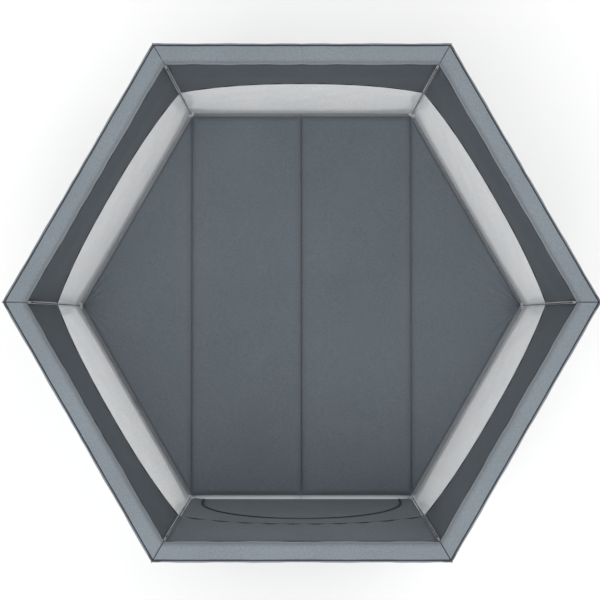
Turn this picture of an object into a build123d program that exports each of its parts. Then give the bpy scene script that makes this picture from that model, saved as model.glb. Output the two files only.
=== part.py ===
from build123d import *
from math import cos, radians, sin, sqrt, tan
import os

# Hexagonal folding playpen. Millimetres, +Z up, origin on the floor under the middle of the pen.
# Corners are numbered by direction, 60 degrees apart, starting at +X and turning towards +Y (back).

CORNERS = ["right", "back_right", "back_left", "left", "front_left", "front_right"]
SIDES = ["right_back", "back", "left_back", "left_front", "front", "right_front"]
TURN = 60
FRONT = SIDES.index("front")

# Driving dimensions
HEIGHT = 686
FRAME_R = 648
LEG_OD = 25
LEG_WALL = 1.5
RAIL_OD = 22
RAIL_WALL = 1.5
PAD_WIDTH = 38
PIVOT_DROP = 6
CORNER_DEAD = 60
HUB_PIVOT_R = 75
SPOKE_OD = 16
SPOKE_Z = 35
FOOT_OD = 50
FOOT_DISC_H = 12
MAT_R = 590
MAT_THICK = 22
MAT_Z = 51
MAT_GAP = 1.2
BASE_R = 606
BASE_Z = 48
BASE_THICK = 2
WALL_THICK = 2.5
WALL_TOP_Z = 638
WALL_FOOT_Z = 52
WALL_TOP_APOTHEM = 534
WALL_FOOT_APOTHEM = 520
DOOR_R = 262
DOOR_CENTRE_Z = 120
DOOR_SILL_Z = 66
CHAIN_WIDTH = 6
FIT = 0.5
PIN_R = 3
PIN_FIT = 0.05

# Worked out from the driving dimensions
PIVOT_Z = HEIGHT - PIVOT_DROP
HALF_SIDE = FRAME_R / 2
RAIL_REACH = HALF_SIDE - CORNER_DEAD
LEG_DEAD = 2 * CORNER_DEAD - HUB_PIVOT_R
SPOKE_PIVOT_R = FRAME_R - LEG_DEAD
APOTHEM = cos(radians(TURN / 2))
SIDE_SLOPE = tan(radians(TURN / 2))
RAIL_AXIS_Z = PIVOT_Z - PAD_WIDTH / 2

# Hinge fittings
EYE_HALF = 5
CHEEK = 4.5
EYE_R = 5
BAR = 14
BLOCK = 14


def save(name, *solids):
    """Writes one node, made of one solid or a group of separate solids."""
    shape = solids[0] if len(solids) == 1 else Compound(children=list(solids))
    shape.label = name
    export_step(shape, os.path.join("parts", name + ".step"))


def block(x0, x1, y0, y1, z0, z1):
    """A box between two corners."""
    return Pos((x0 + x1) / 2, (y0 + y1) / 2, (z0 + z1) / 2) * Box(x1 - x0, y1 - y0, z1 - z0)


def upright(x, y, z0, z1, r):
    """A vertical cylinder."""
    return Pos(x, y, (z0 + z1) / 2) * Cylinder(r, z1 - z0)


def along_x(x0, x1, z, r):
    """A cylinder along X."""
    return Pos((x0 + x1) / 2, 0, z) * Rot(0, 90, 0) * Cylinder(r, x1 - x0)


def across(x, z, r, half):
    """A cylinder along Y, centred on the X axis."""
    return Pos(x, 0, z) * Rot(90, 0, 0) * Cylinder(r, 2 * half)


def at_corner(k, shape):
    """Turns a shape drawn along +X to corner k."""
    return Rot(0, 0, TURN * k) * shape


def at_side(k, shape, from_far_end=False):
    """Places a shape drawn with the corner at the origin and the side along +X."""
    if from_far_end:
        return Rot(0, 0, TURN * k + TURN) * Pos(FRAME_R, 0, 0) * Rot(0, 0, 180 + TURN) * shape
    return Rot(0, 0, TURN * k) * Pos(FRAME_R, 0, 0) * Rot(0, 0, 180 - TURN) * shape


def leg():
    """A vertical leg tube, open inside."""
    tube = upright(FRAME_R, 0, FOOT_DISC_H, HEIGHT - 12, LEG_OD / 2)
    return tube - upright(FRAME_R, 0, FOOT_DISC_H, HEIGHT - 12, LEG_OD / 2 - LEG_WALL)


def fork(x_root, x_pin, z, r):
    """Two cheeks and the pin between them, for an eye on the same pin."""
    cheeks = Part()
    for side in (-1, 1):
        inner = side * (EYE_HALF + FIT)
        outer = side * (EYE_HALF + FIT + CHEEK)
        low, high = sorted((inner, outer))
        back, front = sorted((x_root, x_pin))
        cheek = block(back, front, low, high, z - r, z + r)
        cheek += Pos(x_pin, (low + high) / 2, z) * Rot(90, 0, 0) * Cylinder(r, CHEEK)
        cheeks += cheek
    return cheeks + across(x_pin, z, PIN_R, EYE_HALF + FIT + CHEEK)


def foot():
    """Round foot with a collar round the leg and a fork for the floor spoke."""
    disc = upright(FRAME_R, 0, 0, FOOT_DISC_H, FOOT_OD / 2)
    disc = fillet(disc.edges().filter_by(GeomType.CIRCLE), 3)
    collar = upright(FRAME_R, 0, FOOT_DISC_H, 60, 18) - upright(FRAME_R, 0, FOOT_DISC_H, 61, LEG_OD / 2)
    arm = block(SPOKE_PIVOT_R + BAR, FRAME_R - 15, -10, 10, 26, 44)
    arm -= upright(FRAME_R, 0, 0, 61, LEG_OD / 2)
    return disc + collar + arm + fork(SPOKE_PIVOT_R + BAR, SPOKE_PIVOT_R, SPOKE_Z, EYE_R + 1)


def corner_bracket():
    """Cap on the leg with a fork towards each of the two rails that meet at the corner."""
    cap = upright(FRAME_R, 0, 640, HEIGHT, 20) - upright(FRAME_R, 0, 639, HEIGHT - 12, LEG_OD / 2)
    for turn in (180 - TURN, 180 + TURN):
        arm = block(14, CORNER_DEAD - BAR, -10, 10, PIVOT_Z - 9, HEIGHT)
        arm += fork(CORNER_DEAD - BAR, CORNER_DEAD, PIVOT_Z, EYE_R)
        cap += Pos(FRAME_R, 0, 0) * Rot(0, 0, turn) * arm
    return cap - upright(FRAME_R, 0, 600, HEIGHT - 12, LEG_OD / 2)


def eye(x_pin, x_block, z, r, hole):
    """A single bored eye on a bar that reaches to a block."""
    low, high = sorted((x_pin, x_block))
    bar = block(low, high, -EYE_HALF, EYE_HALF, z - r, z + r)
    bar += Pos(x_pin, 0, z) * Rot(90, 0, 0) * Cylinder(r, 2 * EYE_HALF)
    return bar - across(x_pin, z, hole, EYE_HALF + 1)


def rail_tube(forked):
    """Half of a top rail: corner eye, tube, and an eye or an open fork at the middle of the side."""
    start, end = CORNER_DEAD, HALF_SIDE
    tube = along_x(start + BAR, end - BAR, RAIL_AXIS_Z, RAIL_OD / 2)
    tube -= along_x(start + BAR + BLOCK, end - BAR - BLOCK, RAIL_AXIS_Z, RAIL_OD / 2 - RAIL_WALL)
    low = RAIL_AXIS_Z - 6
    half = tube + block(start + BAR, start + BAR + BLOCK, -10, 10, low, PIVOT_Z)
    half += block(end - BAR - BLOCK, end - BAR, -10, 10, low, PIVOT_Z)
    half += eye(start, start + BAR + 1, PIVOT_Z, EYE_R, PIN_R + PIN_FIT)
    if not forked:
        return half + eye(end, end - BAR - 1, PIVOT_Z, EYE_R, PIN_R + FIT)
    return half + fork(end - BAR - 1, end, PIVOT_Z, EYE_R)


def rail_pad():
    """Foam and fabric sleeve round half a rail."""
    start, end = CORNER_DEAD + BAR + BLOCK, HALF_SIDE - BAR - BLOCK
    half = PAD_WIDTH / 2
    pad = block(start, end, -half, half, PIVOT_Z - PAD_WIDTH, PIVOT_Z)
    pad = fillet(pad.edges().filter_by(Axis.X), 6)
    return pad - along_x(start - 1, end + 1, RAIL_AXIS_Z, RAIL_OD / 2)


def spoke():
    """Floor tube from the hub to a foot, with a bored eye at each end."""
    tube = along_x(HUB_PIVOT_R + BAR, SPOKE_PIVOT_R - BAR, SPOKE_Z, SPOKE_OD / 2)
    tube -= along_x(HUB_PIVOT_R + 2 * BAR, SPOKE_PIVOT_R - 2 * BAR, SPOKE_Z, SPOKE_OD / 2 - 1.2)
    tube += eye(HUB_PIVOT_R, HUB_PIVOT_R + BAR + 1, SPOKE_Z, EYE_R + 1, PIN_R + PIN_FIT)
    return tube + eye(SPOKE_PIVOT_R, SPOKE_PIVOT_R - BAR - 1, SPOKE_Z, EYE_R + 1, PIN_R + PIN_FIT)


def hub():
    """Floor hub with six forks."""
    disc = upright(0, 0, 26, 44, HUB_PIVOT_R - BAR)
    for k in range(6):
        disc += at_corner(k, fork(HUB_PIVOT_R - BAR - 4, HUB_PIVOT_R, SPOKE_Z, EYE_R + 1))
    return disc


def base_gore(k):
    """Kite of the base fabric, from the hub out to one corner."""
    edge = BASE_R * APOTHEM
    side_mid = (edge * cos(radians(30)), edge * sin(radians(30)))
    kite = Polyline((0, 0), side_mid, (BASE_R, 0), (side_mid[0], -side_mid[1]), close=True)
    kite = offset(make_face(kite), amount=-0.4, kind=Kind.INTERSECTION)
    return at_corner(k, Pos(0, 0, BASE_Z) * extrude(kite, amount=BASE_THICK))


def on_wall(k, shape):
    """Lays a shape drawn flat on side wall k. X runs along the side, Y up the wall, Z outwards."""
    foot_at = Vector(WALL_FOOT_APOTHEM, 0, WALL_FOOT_Z)
    top_at = Vector(WALL_TOP_APOTHEM, 0, WALL_TOP_Z)
    up = (top_at - foot_at).normalized()
    plane = Plane(origin=foot_at, x_dir=(0, 1, 0), z_dir=Vector(0, 1, 0).cross(up))
    return Rot(0, 0, TURN * k + TURN / 2) * (plane * shape)


def wall_height():
    """Length of a wall from its foot to the rail, measured along the wall."""
    return sqrt((WALL_TOP_Z - WALL_FOOT_Z) ** 2 + (WALL_TOP_APOTHEM - WALL_FOOT_APOTHEM) ** 2)


def wall_outline():
    """Trapezium of a wall, clear of its two neighbours at the corners."""
    foot_half = WALL_FOOT_APOTHEM * SIDE_SLOPE - 4
    top_half = WALL_TOP_APOTHEM * SIDE_SLOPE - 4
    tall = wall_height()
    points = [(-foot_half, 0), (foot_half, 0), (top_half, tall), (-top_half, tall)]
    return make_face(Polyline(*points, close=True))


def arch(radius, sill):
    """Door outline: straight sides up to the centre height, then a half circle."""
    centre_y = DOOR_CENTRE_Z - WALL_FOOT_Z
    sides = Pos(0, (sill + centre_y) / 2) * Rectangle(2 * radius, centre_y - sill)
    return sides + Pos(0, centre_y) * Circle(radius) - Pos(0, sill - radius) * Rectangle(3 * radius, 2 * radius)


def wall(k):
    """Mesh wall, or the front wall with its door opening."""
    face = wall_outline()
    if k == FRONT:
        face -= arch(DOOR_R + CHAIN_WIDTH / 2 + 0.4, DOOR_SILL_Z - WALL_FOOT_Z - 1)
    return on_wall(k, extrude(face, amount=WALL_THICK / 2, both=True))


def door():
    """Door flap inside the zip."""
    face = arch(DOOR_R - CHAIN_WIDTH / 2 - 0.4, DOOR_SILL_Z - WALL_FOOT_Z + 1)
    return on_wall(FRONT, extrude(face, amount=WALL_THICK / 2, both=True))


def zip_chain():
    """Zip chain round the door opening."""
    sill = DOOR_SILL_Z - WALL_FOOT_Z + 1
    face = arch(DOOR_R + CHAIN_WIDTH / 2, sill) - arch(DOOR_R - CHAIN_WIDTH / 2, sill - 2)
    return on_wall(FRONT, extrude(face, amount=1.2, both=True))


def zip_slider(side):
    """Zip slider with its pull, lying on the outer face of the chain at the foot of the arch."""
    y = DOOR_CENTRE_Z - WALL_FOOT_Z
    body = Pos(side * DOOR_R, y, 4.4) * fillet(Box(11, 15, 3.6).edges().filter_by(Axis.Z), 3)
    pull = Pos(side * DOOR_R, y - 17, 4) * (Box(6, 26, 1.6) - Pos(0, -8, 0) * Cylinder(1.8, 4))
    return on_wall(FRONT, body + pull)


def mat_panel(index):
    """One of four padded boards of the folding mat."""
    width = MAT_R / 2
    outline = make_face(Polyline(*[(MAT_R * cos(radians(60 * n)), MAT_R * sin(radians(60 * n)))
                                   for n in range(6)], close=True))
    x0 = -MAT_R + index * width + MAT_GAP / 2
    x1 = x0 + width - MAT_GAP
    strip = outline & Pos((x0 + x1) / 2, 0) * Rectangle(x1 - x0, 3 * MAT_R)
    return Pos(0, 0, MAT_Z) * extrude(strip, amount=MAT_THICK)


def build():
    """Writes every node."""
    os.makedirs("parts", exist_ok=True)
    for k, name in enumerate(CORNERS):
        save(f"leg_{name}", at_corner(k, leg()))
        save(f"foot_{name}", at_corner(k, foot()))
        save(f"corner_bracket_{name}", at_corner(k, corner_bracket()))
        save(f"floor_spoke_{name}", at_corner(k, spoke()))
        save(f"base_gore_{name}", base_gore(k))
    for k, name in enumerate(SIDES):
        first = [rail_tube(False), rail_pad()]
        second = [rail_tube(True), rail_pad()]
        save(f"rail_{name}_a", *[at_side(k, s) for s in first])
        save(f"rail_{name}_b", *[at_side(k, s, True) for s in second])
        save(f"wall_{name}", wall(k))
    save("floor_hub", hub())
    for index in range(4):
        save(f"mat_panel_{index + 1}", mat_panel(index))
    save("door_flap", door())
    save("zip_chain", zip_chain())
    save("zip_slider_left", zip_slider(-1))
    save("zip_slider_right", zip_slider(1))


build()
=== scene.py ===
from math import atan2, cos, pi, radians, sin, tan

import bmesh
import bpy
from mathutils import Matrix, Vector


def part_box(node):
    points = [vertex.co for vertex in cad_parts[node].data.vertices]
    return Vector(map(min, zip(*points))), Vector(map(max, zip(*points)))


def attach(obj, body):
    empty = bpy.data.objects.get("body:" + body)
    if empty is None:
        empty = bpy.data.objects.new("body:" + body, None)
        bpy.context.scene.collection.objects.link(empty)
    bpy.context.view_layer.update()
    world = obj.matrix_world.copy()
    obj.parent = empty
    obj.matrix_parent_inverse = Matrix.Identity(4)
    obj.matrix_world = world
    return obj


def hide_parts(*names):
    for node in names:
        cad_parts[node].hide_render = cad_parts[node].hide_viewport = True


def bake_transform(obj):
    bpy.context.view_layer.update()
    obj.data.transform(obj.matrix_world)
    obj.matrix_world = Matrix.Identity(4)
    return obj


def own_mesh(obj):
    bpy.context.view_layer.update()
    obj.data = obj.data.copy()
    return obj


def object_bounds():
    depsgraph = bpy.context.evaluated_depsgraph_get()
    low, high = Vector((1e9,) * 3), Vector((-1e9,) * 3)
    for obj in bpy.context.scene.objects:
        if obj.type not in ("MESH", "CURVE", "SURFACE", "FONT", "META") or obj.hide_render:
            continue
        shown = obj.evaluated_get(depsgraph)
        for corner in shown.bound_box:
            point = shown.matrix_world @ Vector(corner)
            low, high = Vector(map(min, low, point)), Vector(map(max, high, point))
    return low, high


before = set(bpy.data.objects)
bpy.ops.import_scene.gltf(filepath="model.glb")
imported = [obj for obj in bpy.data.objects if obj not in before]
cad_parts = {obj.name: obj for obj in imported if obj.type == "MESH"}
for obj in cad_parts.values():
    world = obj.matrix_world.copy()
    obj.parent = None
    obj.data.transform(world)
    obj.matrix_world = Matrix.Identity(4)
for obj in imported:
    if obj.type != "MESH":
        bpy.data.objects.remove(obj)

CAD_LOW, CAD_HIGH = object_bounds()

CORNERS = ["right", "back_right", "back_left", "left", "front_left", "front_right"]
SIDES = ["right_back", "back", "left_back", "left_front", "front", "right_front"]
FRONT = SIDES.index("front")
SLOPE = tan(radians(30))
APOTHEM = cos(radians(30))

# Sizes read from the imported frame, in metres
TOP_Z = CAD_HIGH.z
LEG_LOW, LEG_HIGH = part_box("leg_right")
FRAME_R = (LEG_LOW[0] + LEG_HIGH[0]) / 2
HALF_SIDE = FRAME_R / 2
RAIL_LINE = FRAME_R * APOTHEM
PAD_HALF = 0.0222
SLEEVE_HALF_TALL = 0.0225
SLEEVE_Z = TOP_Z - 0.0200
MAT_LOW, MAT_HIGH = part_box("mat_panel_2")
MAT_R = -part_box("mat_panel_1")[0][0]
BASE_LOW, BASE_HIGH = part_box("base_gore_right")
WALL_LOW, WALL_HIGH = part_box("wall_back")
WALL_FOOT = WALL_LOW[1] + 0.0015
WALL_TOP = WALL_HIGH[1] - 0.0015
DOOR_LOW, DOOR_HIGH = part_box("door_flap")
DOOR_HALF = DOOR_HIGH[0]
DOOR_FOOT = DOOR_LOW[2]
ARCH_Z = DOOR_HIGH[2] - DOOR_HALF
CAMERA_TILT = radians(0.95)
SLEEVE_AROUND = 28
SLEEVE_STEPS = 44
SEAM_GAP = 0.0035
ZIP_OFFSET = 0.0032
TOOTH_COUNT = 330
FOOT_BAND_TALL = 0.045
FOOT_BAND_EARS = 0.030
BAND_INSET = 0.0062
BAND_DEPTH = 0.190
BAND_CORNER_DROP = 0.110


# ---------- materials ----------

def material(name, color, rough):
    """A Principled material and its node tree."""
    mat = bpy.data.materials.new(name)
    mat.use_nodes = True
    shader = mat.node_tree.nodes["Principled BSDF"]
    shader.inputs["Base Color"].default_value = (*color, 1)
    shader.inputs["Roughness"].default_value = rough
    return mat, mat.node_tree, shader


def object_coords(tree, turn=0.0):
    """Object coordinates, turned about Z."""
    coords = tree.nodes.new("ShaderNodeTexCoord")
    mapping = tree.nodes.new("ShaderNodeMapping")
    mapping.inputs["Rotation"].default_value = (turn, turn, turn)
    tree.links.new(coords.outputs["Object"], mapping.inputs["Vector"])
    return mapping.outputs["Vector"]


def wave(tree, vector, direction, scale):
    """Yarn ridges along one axis."""
    node = tree.nodes.new("ShaderNodeTexWave")
    node.bands_direction = direction
    node.inputs["Scale"].default_value = scale
    node.inputs["Distortion"].default_value = 1.2
    node.inputs["Detail"].default_value = 1.0
    tree.links.new(vector, node.inputs["Vector"])
    return node.outputs["Fac"]


def noise(tree, vector, scale, detail=3.0):
    """Plain noise."""
    node = tree.nodes.new("ShaderNodeTexNoise")
    node.inputs["Scale"].default_value = scale
    node.inputs["Detail"].default_value = detail
    tree.links.new(vector, node.inputs["Vector"])
    return node.outputs["Fac"]


def join(tree, operation, a, b):
    """A Math node on two sockets or numbers."""
    node = tree.nodes.new("ShaderNodeMath")
    node.operation = operation
    for socket, value in zip(node.inputs, (a, b)):
        if isinstance(value, (int, float)):
            socket.default_value = value
        else:
            tree.links.new(value, socket)
    return node.outputs[0]


def ramp(tree, fac, dark, light, low=0.3, high=0.7):
    """A colour ramp between two colours."""
    node = tree.nodes.new("ShaderNodeValToRGB")
    node.color_ramp.elements[0].position = low
    node.color_ramp.elements[0].color = (*dark, 1)
    node.color_ramp.elements[1].position = high
    node.color_ramp.elements[1].color = (*light, 1)
    tree.links.new(fac, node.inputs["Fac"])
    return node.outputs["Color"]


def bump(tree, shader, height, strength, distance):
    """Bump from a height socket."""
    node = tree.nodes.new("ShaderNodeBump")
    node.inputs["Strength"].default_value = strength
    node.inputs["Distance"].default_value = distance
    tree.links.new(height, node.inputs["Height"])
    tree.links.new(node.outputs["Normal"], shader.inputs["Normal"])


def fabric(name, color, yarn=420.0, contrast=0.16, sheen=0.35, relief=0.5):
    """Woven heather polyester: crossed yarns, flecks, and slow colour variation."""
    mat, tree, shader = material(name, color, 0.86)
    shader.inputs["Sheen Weight"].default_value = sheen
    shader.inputs["Sheen Roughness"].default_value = 0.45
    shader.inputs["Specular IOR Level"].default_value = 0.25
    vector = object_coords(tree)
    yarns = join(tree, "MAXIMUM", wave(tree, vector, "X", yarn), wave(tree, vector, "Y", yarn))
    yarns = join(tree, "MULTIPLY", join(tree, "ADD", yarns, wave(tree, vector, "Z", yarn)), 0.5)
    flecks = noise(tree, vector, 260, 5)
    patches = noise(tree, vector, 6, 3)
    mixed = join(tree, "ADD", join(tree, "MULTIPLY", yarns, 0.05), join(tree, "MULTIPLY", flecks, 0.72))
    mixed = join(tree, "ADD", mixed, join(tree, "MULTIPLY", patches, 0.25))
    dark = [c * (1 - contrast) for c in color]
    light = [c * (1 + contrast) for c in color]
    tree.links.new(ramp(tree, mixed, dark, light, 0.35, 0.75), shader.inputs["Base Color"])
    bump(tree, shader, join(tree, "ADD", join(tree, "MULTIPLY", yarns, 0.15), flecks), relief, 0.0005)
    return mat


def mesh_fabric(name):
    """Fine white knitted mesh: small open cells in a soft white ground."""
    mat, tree, shader = material(name, (0.86, 0.88, 0.90), 0.7)
    shader.inputs["Sheen Weight"].default_value = 0.3
    vector = object_coords(tree, radians(45))
    cells = tree.nodes.new("ShaderNodeTexVoronoi")
    cells.feature = "DISTANCE_TO_EDGE"
    cells.inputs["Scale"].default_value = 420
    tree.links.new(vector, cells.inputs["Vector"])
    threads = join(tree, "LESS_THAN", cells.outputs["Distance"], 0.23)
    alpha = join(tree, "ADD", join(tree, "MULTIPLY", threads, 0.25), 0.30)
    tree.links.new(alpha, shader.inputs["Alpha"])
    soft = noise(tree, vector, 9, 4)
    tree.links.new(ramp(tree, soft, (0.88, 0.90, 0.92), (0.96, 0.965, 0.97)), shader.inputs["Base Color"])
    bump(tree, shader, threads, 0.3, 0.0005)
    return mat


def hard(name, color, rough):
    """Moulded or coated surface with fine grain, scuffs and uneven gloss."""
    mat, tree, shader = material(name, color, rough)
    vector = object_coords(tree)
    scuffs = noise(tree, vector, 22, 6)
    fine = noise(tree, vector, 1120, 2)
    dark = [c * 0.86 for c in color]
    light = [min(1, c * 1.1) for c in color]
    tree.links.new(ramp(tree, scuffs, dark, light), shader.inputs["Base Color"])
    gloss = join(tree, "ADD", join(tree, "MULTIPLY", scuffs, 0.22), rough - 0.11)
    tree.links.new(gloss, shader.inputs["Roughness"])
    bump(tree, shader, fine, 0.12, 0.0003)
    return mat


COVER = (0.190, 0.217, 0.243)
RAIL = fabric("rail_cover_weave", COVER)
SKIRT = fabric("inner_band_weave", (0.078, 0.094, 0.110), sheen=0.1)
WALL = fabric("front_wall_weave", (0.135, 0.156, 0.178), sheen=0.1)
DOOR = fabric("door_weave", (0.130, 0.151, 0.173), sheen=0.1)
MAT = fabric("mat_weave", (0.118, 0.137, 0.156), relief=0.7)
BASE = fabric("base_weave", (0.40, 0.43, 0.46), contrast=0.08)
WEBBING = fabric("webbing_weave", (0.42, 0.45, 0.48), yarn=260.0, contrast=0.12)
PIPING = fabric("piping_weave", (0.022, 0.028, 0.035), yarn=700.0)
NET = mesh_fabric("white_mesh")
ZIP = hard("zip_nylon", (0.028, 0.032, 0.038), 0.45)
TUBE = hard("tube_coating", (0.48, 0.50, 0.52), 0.38)
FOOT = hard("foot_plastic", (0.30, 0.33, 0.36), 0.55)
HINGE = hard("hinge_plastic", (0.05, 0.056, 0.064), 0.5)


# ---------- mesh helpers ----------

def piece(name, points, faces, mat, body=None, node=None, smooth=True):
    """A new mesh piece that rides on a body and may stand for a CAD node."""
    data = bpy.data.meshes.new(name)
    data.from_pydata([tuple(p) for p in points], [], faces)
    data.materials.append(mat)
    obj = bpy.data.objects.new(name, data)
    bpy.context.scene.collection.objects.link(obj)
    tidy = bmesh.new()
    tidy.from_mesh(data)
    bmesh.ops.remove_doubles(tidy, verts=tidy.verts, dist=1e-6)
    bmesh.ops.recalc_face_normals(tidy, faces=tidy.faces)
    tidy.to_mesh(data)
    tidy.free()
    for face in data.polygons:
        face.use_smooth = smooth
    if body:
        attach(obj, body)
    if node:
        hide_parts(node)
    return obj


def grid(rows, close=False):
    """Faces and points of a list of equal rows of points."""
    wide = len(rows[0])
    points = [p for row in rows for p in row]
    faces = []
    for r in range(len(rows) - 1):
        for c in range(wide if close else wide - 1):
            d = (c + 1) % wide
            faces.append((r * wide + c, r * wide + d, (r + 1) * wide + d, (r + 1) * wide + c))
    return points, faces


def thick(obj, depth):
    """Gives a sheet its thickness as real geometry."""
    modifier = obj.modifiers.new("thickness", "SOLIDIFY")
    modifier.thickness = depth
    modifier.offset = 0
    applied(obj)
    return obj


def applied(obj):
    """Applies every modifier on a piece."""
    graph = bpy.context.evaluated_depsgraph_get()
    graph.update()
    data = bpy.data.meshes.new_from_object(obj.evaluated_get(graph))
    obj.modifiers.clear()
    obj.data = data
    return obj


def side_point(k, along, out, z):
    """A point of side k: along the side from its middle, out from the pen's axis, at height z."""
    a = radians(60 * k + 30)
    return Vector((out * cos(a) - along * sin(a), out * sin(a) + along * cos(a), z))


def turned(p, angle):
    """A point turned about the pen's axis."""
    return Vector((p.x * cos(angle) - p.y * sin(angle), p.x * sin(angle) + p.y * cos(angle), p.z))


def tube_path(points, radius, around=8):
    """A round tube along a list of points."""
    rows = []
    for i, p in enumerate(points):
        ahead = points[min(i + 1, len(points) - 1)] - points[max(i - 1, 0)]
        side = ahead.cross(Vector((0.02, 0.03, 1))).normalized()
        up = side.cross(ahead).normalized()
        ring = [p + radius * (cos(2 * pi * n / around) * side + sin(2 * pi * n / around) * up)
                for n in range(around)]
        rows.append(ring)
    made, faces = grid(rows, close=True)
    faces.append(tuple(range(around)))
    faces.append(tuple(range(len(made) - around, len(made)))[::-1])
    return made, faces


def leg_body(k):
    """The body that carries corner k."""
    return "leg_frame_" + CORNERS[k % 6]


def fold_side(obj):
    """Gives a soft piece its own copy of its mesh data."""
    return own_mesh(obj)


# ---------- padded top rails ----------

def sleeve_profile():
    """Section of the padded rail: out from the rail line, and height from its middle."""
    points = []
    for n in range(SLEEVE_AROUND):
        a = 2 * pi * n / SLEEVE_AROUND
        c, s = cos(a), sin(a)
        points.append((PAD_HALF * abs(c) ** 0.5 * (1 if c > 0 else -1),
                       SLEEVE_HALF_TALL * abs(s) ** 0.5 * (1 if s > 0 else -1)))
    return points


def half_sleeve(k, first):
    """The sleeve over half a rail, from the mitred corner to the middle of the side."""
    end = "a" if first else "b"
    sign = -1 if first else 1
    rows = []
    for out, up in sleeve_profile():
        row = []
        begin = HALF_SIDE + out * SLOPE - 0.0006
        for i in range(SLEEVE_STEPS + 1):
            at = begin * (1 - i / SLEEVE_STEPS)
            pull = 0.0004 * sin(at * 41 + k) + 0.0002 * sin(at * 113 + 2 * k)
            neat = min(1.0, at / 0.02)
            grow = 1 + pull / PAD_HALF * neat - 0.03 * (1 - neat)
            row.append(side_point(k, sign * at, RAIL_LINE + out * grow, SLEEVE_Z + up * grow))
        rows.append(row)
    rows.append(rows[0])
    points, faces = grid(rows)
    name = f"rail_{SIDES[k]}_{end}"
    obj = piece("sleeve_" + name, points, faces, RAIL, None, name)
    bend(obj)
    for label, out, up in (("outer", 0.0150, 0.0212), ("inner", -0.0216, -0.014)):
        line = []
        for i in range(41):
            at = (HALF_SIDE + out * SLOPE) * (1 - i / 40)
            line.append(side_point(k, sign * at, RAIL_LINE + out, SLEEVE_Z + up))
        points, faces = tube_path(line, 0.0017 if label == "outer" else 0.0011)
        trim = piece(f"piping_{label}_{SIDES[k]}_{end}", points, faces, PIPING)
        bend(trim)


def bend(obj):
    """Bakes a sleeve's transform into its mesh."""
    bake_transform(obj)


def corner_seam(k):
    """Dark mitre seam over the top of a padded corner."""
    line = []
    for n in range(25):
        a = -0.12 * pi + 1.24 * pi * n / 24
        c, s = cos(a), sin(a)
        out = (PAD_HALF - 0.0004) * abs(c) ** 0.5 * (1 if c > 0 else -1)
        up = (SLEEVE_HALF_TALL - 0.0004) * abs(s) ** 0.5 * (1 if s > 0 else -1)
        r = (RAIL_LINE + out) / APOTHEM
        line.append(turned(Vector((r, 0, SLEEVE_Z + up)), radians(60 * k)))
    points, faces = tube_path(line, 0.0012)
    piece("corner_seam_" + CORNERS[k], points, faces, PIPING, leg_body(k))


# ---------- walls ----------

def wall_out(z):
    """How far a wall stands from the pen's axis at height z."""
    share = (z - WALL_LOW[2]) / (WALL_HIGH[2] - WALL_LOW[2])
    return WALL_FOOT + (WALL_TOP - WALL_FOOT) * share


def band_out(z):
    """How far the inner band stands out: from the rail's inner face, then down inside the wall."""
    drop = min(1.0, (SLEEVE_Z - z) / 0.10)
    ease = drop * drop * (3 - 2 * drop)
    top = RAIL_LINE - PAD_HALF + 0.0035
    return top + (wall_out(z) - BAND_INSET - top) * ease


def wall_place(z):
    """How far a wall's own sheet stands out: behind the inner band wherever the two overlap."""
    behind = band_out(z) + 0.0032 if z > TOP_Z - 0.20 else 0.0
    return max(wall_out(z), behind)


def creases(k, along, z):
    """Soft diagonal creases of the slack mesh, in metres outwards."""
    drop = (WALL_HIGH[2] - z) / (WALL_HIGH[2] - WALL_LOW[2])
    hold = sin(pi * min(1, max(0, drop))) * (1 - abs(along / HALF_SIDE) ** 4)
    folds = 0.0
    for n in range(4):
        slant = along * (3.1 + n) + (z - 0.3) * (4.4 - 2.3 * n) * (1 if (n + k) % 2 else -1)
        folds += 0.0016 * abs(sin(slant * 7 + n * 1.9 + k)) ** 3
    return hold * (folds - 0.004)


def wall_sheet(k, name, mat, low, high, place=wall_place, wavy=True, columns=60, rows_up=40):
    """A sheet over side k between two heights, which may depend on the place along the side."""
    rows = []
    for j in range(rows_up + 1):
        row = []
        for i in range(columns + 1):
            u = -1 + 2 * i / columns
            z0, z1 = low(u), high(u)
            z = z0 + (z1 - z0) * j / rows_up
            out = place(z)
            reach = out * SLOPE - SEAM_GAP
            along = u * reach
            push = creases(k, along, z) if wavy else 0.0
            row.append(side_point(k, along, out + push, z))
        rows.append(row)
    points, faces = grid(rows)
    return piece(name, points, faces, mat)


def mesh_wall(k):
    """White mesh wall of one side."""
    foot_z = BASE_HIGH[2] + 0.002
    obj = wall_sheet(k, "mesh_" + SIDES[k], NET, lambda u: foot_z, lambda u: SLEEVE_Z - 0.012)
    finish_sheet(obj, k, "wall_" + SIDES[k], 0.0009)


def foot_band(k):
    """Grey base fabric turned up at the foot of a wall."""
    foot_z = BASE_HIGH[2] + 0.001
    obj = wall_sheet(k, "foot_band_" + SIDES[k], BASE, lambda u: foot_z,
                     lambda u: foot_z + FOOT_BAND_TALL + FOOT_BAND_EARS * abs(u) ** 6,
                     lambda z: wall_out(z) + 0.0022, False, rows_up=6)
    finish_sheet(obj, k, None, 0.0010)


def finish_sheet(obj, k, node, depth):
    """Thickness and body of a side's sheet."""
    thick(obj, depth)
    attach(obj, leg_body(k))
    if node:
        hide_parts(node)
    fold_side(obj)


def skirt_foot(u):
    """Height of the scalloped lower edge of the inner band."""
    return TOP_Z - BAND_DEPTH - BAND_CORNER_DROP * abs(u) ** 2.4


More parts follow.
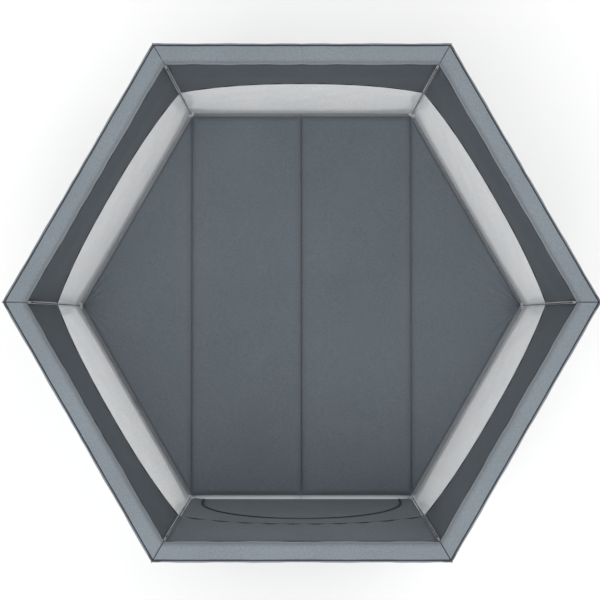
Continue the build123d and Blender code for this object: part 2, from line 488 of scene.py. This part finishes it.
def inner_band(k):
    """Solid fabric band inside the top of a wall, with its scalloped, bound lower edge."""
    obj = wall_sheet(k, "inner_band_" + SIDES[k], SKIRT if k != FRONT else WALL, skirt_foot,
                     lambda u: SLEEVE_Z + 0.004, band_out, False, rows_up=24)
    for vertex in obj.data.vertices:
        share = max(0.0, min(1.0, (TOP_Z - vertex.co.z) / 0.25))
        angle = atan2(vertex.co.y, vertex.co.x)
        ripple = 0.0012 * sin(angle * 60 + k) * share
        vertex.co.x += ripple * cos(radians(60 * k + 30))
        vertex.co.y += ripple * sin(radians(60 * k + 30))
    finish_sheet(obj, k, None, 0.0012)
    line = []
    for i in range(61):
        u = -1 + i / 30
        z = skirt_foot(u)
        out = band_out(z)
        line.append(side_point(k, u * (out * SLOPE - SEAM_GAP), out, z))
    points, faces = tube_path(line, 0.0019)
    edge = piece("band_edge_" + SIDES[k], points, faces, PIPING, leg_body(k))
    fold_side(edge)


def corner_joint(k):
    """Dark seam tape down the corner where two walls meet."""
    line = []
    for n in range(31):
        z = BASE_HIGH[2] + 0.004 + (SLEEVE_Z - 0.02 - BASE_HIGH[2]) * n / 30
        r = (wall_out(z) - 0.004) / APOTHEM
        line.append(turned(Vector((r, 0, z)), radians(60 * k)))
    points, faces = tube_path(line, 0.0016)
    piece("wall_seam_" + CORNERS[k], points, faces, PIPING, leg_body(k))


# ---------- front wall and door ----------

def arch_point(t, radius, foot):
    """A point of the door's outline, t from 0 to 1, as (along, z)."""
    straight = ARCH_Z - foot
    whole = 2 * straight + pi * radius
    at = t * whole
    if at < straight:
        return (-radius, foot + at)
    if at > whole - straight:
        return (radius, foot + whole - at)
    a = pi - (at - straight) / radius
    return (radius * cos(a), ARCH_Z + radius * sin(a))


def frame_point(t):
    """The point of the front wall's outer edge that faces the door's outline at t."""
    x, z = arch_point(t, DOOR_HALF, DOOR_FOOT)
    top = SLEEVE_Z - 0.012
    dx, dz = x, z - ARCH_Z + 0.03
    reach = wall_out(z) * SLOPE - 0.0045
    scale = min(reach / abs(dx) if dx else 99, (top - ARCH_Z + 0.03) / dz if dz > 0 else 99)
    x2, z2 = dx * scale, ARCH_Z - 0.03 + dz * scale
    if t in (0, 1):
        z2 = DOOR_FOOT - 0.012
    return (x2, max(z2, DOOR_FOOT - 0.012))


def front_point(x, z, lift=0.0):
    """A point of the front wall."""
    return side_point(FRONT, x, wall_place(z) + lift, z)


def front_wall():
    """Solid front wall round the arched door."""
    steps, rings = 96, 14
    rows = []
    for r in range(rings + 1):
        row = []
        for i in range(steps + 1):
            t = i / steps
            x0, z0 = arch_point(t, DOOR_HALF + 0.0064, DOOR_FOOT - 0.002)
            x1, z1 = frame_point(t)
            f = r / rings
            x, z = x0 + (x1 - x0) * f, z0 + (z1 - z0) * f
            row.append(front_point(x, z, 0.0012 * sin(9 * x + 14 * z) * sin(pi * f)))
        rows.append(row)
    points, faces = grid(rows)
    obj = piece("front_wall", points, faces, WALL)
    finish_sheet(obj, FRONT, "wall_front", 0.0016)


def door_flap():
    """Door flap, a slightly slack sheet."""
    steps, rings = 96, 16
    rows = []
    for r in range(rings + 1):
        f = 1 - r / rings
        row = []
        for i in range(steps + 1):
            x, z = arch_point(i / steps, DOOR_HALF, DOOR_FOOT)
            x2, z2 = x * f, DOOR_FOOT + 0.12 * (1 - f) + (z - DOOR_FOOT) * f
            row.append(front_point(x2, z2, 0.0035 * sin(pi * f) * (0.6 + 0.4 * sin(13 * x2))))
        rows.append(row)
    points, faces = grid(rows)
    left = [row[0] for row in rows]
    right = [row[-1] for row in rows[:-1]]
    bottom = left + right[::-1]
    start = len(points)
    points = points + bottom
    faces.append(tuple(range(start, len(points))))
    obj = piece("door_panel", points, faces, DOOR)
    thick(obj, 0.0016)
    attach(obj, "door")
    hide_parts("door_flap")
    fold_side(obj)


def zip_line():
    """Zip tapes and teeth round the door."""
    line = [front_point(*arch_point(i / 150, DOOR_HALF + ZIP_OFFSET, DOOR_FOOT), 0.0) for i in range(151)]
    points, faces = tube_path(line, 0.0019)
    chain = piece("zip_core", points, faces, ZIP, leg_body(FRONT), "zip_chain")
    fold_side(chain)
    made, squares = [], []
    outward = (side_point(FRONT, 0, 1, 0) - side_point(FRONT, 0, 0, 0)).normalized()
    for i in range(TOOTH_COUNT):
        here = front_point(*arch_point((i + 0.5) / TOOTH_COUNT, DOOR_HALF + ZIP_OFFSET, DOOR_FOOT))
        ahead = front_point(*arch_point((i + 0.9) / TOOTH_COUNT, DOOR_HALF + ZIP_OFFSET, DOOR_FOOT)) - here
        ahead = ahead.normalized()
        across = ahead.cross(outward).normalized()
        first = len(made)
        for face in (-1, 1):
            for side, step in ((-1, -1), (1, -1), (1, 1), (-1, 1)):
                made.append(here + outward * 0.0022 * face + across * 0.0027 * side + ahead * 0.0007 * step)
        squares += [tuple(first + n for n in (0, 1, 2, 3)), tuple(first + n for n in (7, 6, 5, 4))]
        for n in range(4):
            after = (n + 1) % 4
            squares.append((first + n, first + 4 + n, first + 4 + after, first + after))
    teeth = piece("zip_teeth", made, squares, ZIP, leg_body(FRONT), smooth=False)
    fold_side(teeth)


def zip_slider(side):
    """Zip slider and pull, as a piece that rides on its slider body."""
    node = "zip_slider_" + side
    obj = bpy.data.objects.new("slider_and_pull_" + side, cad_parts[node].data.copy())
    bpy.context.scene.collection.objects.link(obj)
    obj.data.materials.clear()
    obj.data.materials.append(ZIP)
    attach(obj, "slider_" + side)
    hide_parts(node)
    fold_side(obj)


# ---------- mat and base ----------

def mat_panel(index):
    """One padded board of the mat: crowned, with rounded seams and slack puckers."""
    low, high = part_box(f"mat_panel_{index + 1}")
    x0, x1 = low[0], high[0]
    edge = MAT_R * APOTHEM

    def reach(x):
        return min(edge, (MAT_R - abs(x)) / SLOPE) if abs(x) > MAT_R / 2 else edge

    wide, long = 34, 96
    tall = high[2] - low[2]
    rows = []
    for side in (1, -1):
        for j in range(long + 1):
            row = []
            v = -1 + 2 * j / long
            for i in range(wide + 1):
                u = -1 + 2 * i / wide
                bent = sin(u * pi / 2)
                x = (x0 + x1) / 2 + bent * (x1 - x0) / 2
                y = max(reach(x), 0.0) * sin(v * pi / 2)
                rim = min(1.0, (1 - abs(bent)) * 11, (reach(x) - abs(y)) / 0.014 + 0.02)
                swell = max(0.0, rim) ** 0.45
                lumps = 0.0011 * sin(31 * x + 3 * y) * sin(17 * y - 5 * x)
                turn = atan2(y, MAT_R - abs(x))
                puckers = 0.0016 * sin(26 * turn) * max(0, 1 - (MAT_R - abs(x)) / 0.16)
                z = low[2] + tall / 2 + side * (tall / 2 * swell)
                if side > 0:
                    z += (lumps + puckers) * swell + 0.003 * swell * (1 - bent ** 2)
                row.append(Vector((x, y, z)))
            rows.append(row)
    top, faces = grid(rows[: long + 1])
    under, more = grid(rows[long + 1:])
    shift = len(top)
    faces += [tuple(shift + n for n in face[::-1]) for face in more]
    points = top + under
    across = wide + 1
    for j in range(long):
        for c in (0, wide):
            a, b = j * across + c, (j + 1) * across + c
            faces.append((a, b, shift + b, shift + a))
    for i in range(wide):
        for j in (0, long):
            a = j * across + i
            faces.append((a, a + 1, shift + a + 1, shift + a))
    obj = piece(f"mat_board_{index + 1}", points, faces, MAT, f"mat_{index + 1}", f"mat_panel_{index + 1}")


def base_gore(k):
    """Base fabric round one floor spoke."""
    low = BASE_LOW[2]
    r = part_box("base_gore_right")[1][0]
    edge = r * APOTHEM
    steps = 24
    rows = []
    for i in range(steps + 1):
        f = i / steps
        half = Vector((edge * APOTHEM, edge * 0.5, 0)) * f
        tip = Vector((r, 0, 0)) * f
        ring = []
        for n in range(-8, 9):
            g = abs(n) / 8
            p = tip.lerp(half, g)
            ring.append(Vector((p.x, p.y * (1 if n > 0 else -1), low + 0.001 + 0.0004 * sin(40 * p.x))))
        rows.append(ring)
    turn = radians(60 * k)
    rows = [[turned(p, turn) for p in row] for row in rows]
    points, faces = grid(rows)
    obj = piece("base_sheet_" + CORNERS[k], points, faces, BASE)
    thick(obj, 0.0012)
    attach(obj, "spoke_" + CORNERS[k])
    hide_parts("base_gore_" + CORNERS[k])
    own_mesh(obj)


def corner_tab(k):
    """Webbing tab from the foot's collar to the foot of the corner seam."""
    turn = radians(60 * k)
    rows = []
    for i in range(13):
        f = i / 12
        r = FRAME_R - 0.012 - 0.046 * f
        z = 0.0615 + 0.004 * sin(pi * f) + 0.004 * f
        row = []
        for n in (-1, -0.5, 0, 0.5, 1):
            y = 0.009 * n
            row.append(turned(Vector((r, y, z)), turn))
        rows.append(row)
    points, faces = grid(rows)
    obj = piece("corner_tab_" + CORNERS[k], points, faces, WEBBING)
    thick(obj, 0.0016)
    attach(obj, leg_body(k))


# ---------- carried-over CAD nodes ----------

def finish_cad():
    """Materials for the CAD nodes that stay."""
    for name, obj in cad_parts.items():
        mat = None
        if name.startswith(("leg_", "floor_spoke")):
            mat = TUBE
        elif name.startswith("foot_"):
            mat = FOOT
        elif name.startswith(("corner_bracket", "floor_hub")):
            mat = HINGE
        if mat:
            for slot in obj.material_slots:
                slot.material = mat
            if not obj.material_slots:
                obj.data.materials.append(mat)


# ---------- studio ----------

def studio():
    """Pale floor, soft light and a camera high over the pen."""
    bpy.ops.mesh.primitive_plane_add(size=30, location=(0, 0, -0.0005))
    floor = bpy.context.object
    floor.name = "studio_floor"
    mat, _, _ = material("studio_floor", (0.93, 0.93, 0.93), 0.9)
    floor.data.materials.append(mat)
    bpy.context.scene.view_settings.view_transform = "Standard"
    world = bpy.data.worlds.new("studio")
    bpy.context.scene.world = world
    world.use_nodes = True
    world.node_tree.nodes["Background"].inputs["Color"].default_value = (1, 1, 1, 1)
    world.node_tree.nodes["Background"].inputs["Strength"].default_value = 0.75
    for name, at, size, power in (("key", (-0.8, -1.4, 4.6), 3.0, 90), ("fill", (1.6, 1.2, 4.4), 3.0, 40)):
        light = bpy.data.lights.new(name, "AREA")
        light.size = size
        light.energy = power
        lamp = bpy.data.objects.new(name, light)
        lamp.location = at
        lamp.rotation_euler = (Vector((0, 0, 0.3)) - Vector(at)).to_track_quat("-Z", "Y").to_euler()
        bpy.context.scene.collection.objects.link(lamp)
    lens = bpy.data.cameras.new("camera")
    lens.sensor_width = 36
    lens.lens = 82.0
    camera = bpy.data.objects.new("camera", lens)
    camera.location = (-0.004, -0.046, TOP_Z + 3.06)
    camera.rotation_euler = (CAMERA_TILT, 0, 0)
    bpy.context.scene.collection.objects.link(camera)
    bpy.context.scene.camera = camera


studio()
finish_cad()
for k in range(6):
    half_sleeve(k, True)
    half_sleeve(k, False)
    corner_seam(k)
    corner_joint(k)
    inner_band(k)
    base_gore(k)
    corner_tab(k)
    if k != FRONT:
        foot_band(k)
        mesh_wall(k)
front_wall()
door_flap()
zip_line()
zip_slider("left")
zip_slider("right")
for index in range(4):
    mat_panel(index)
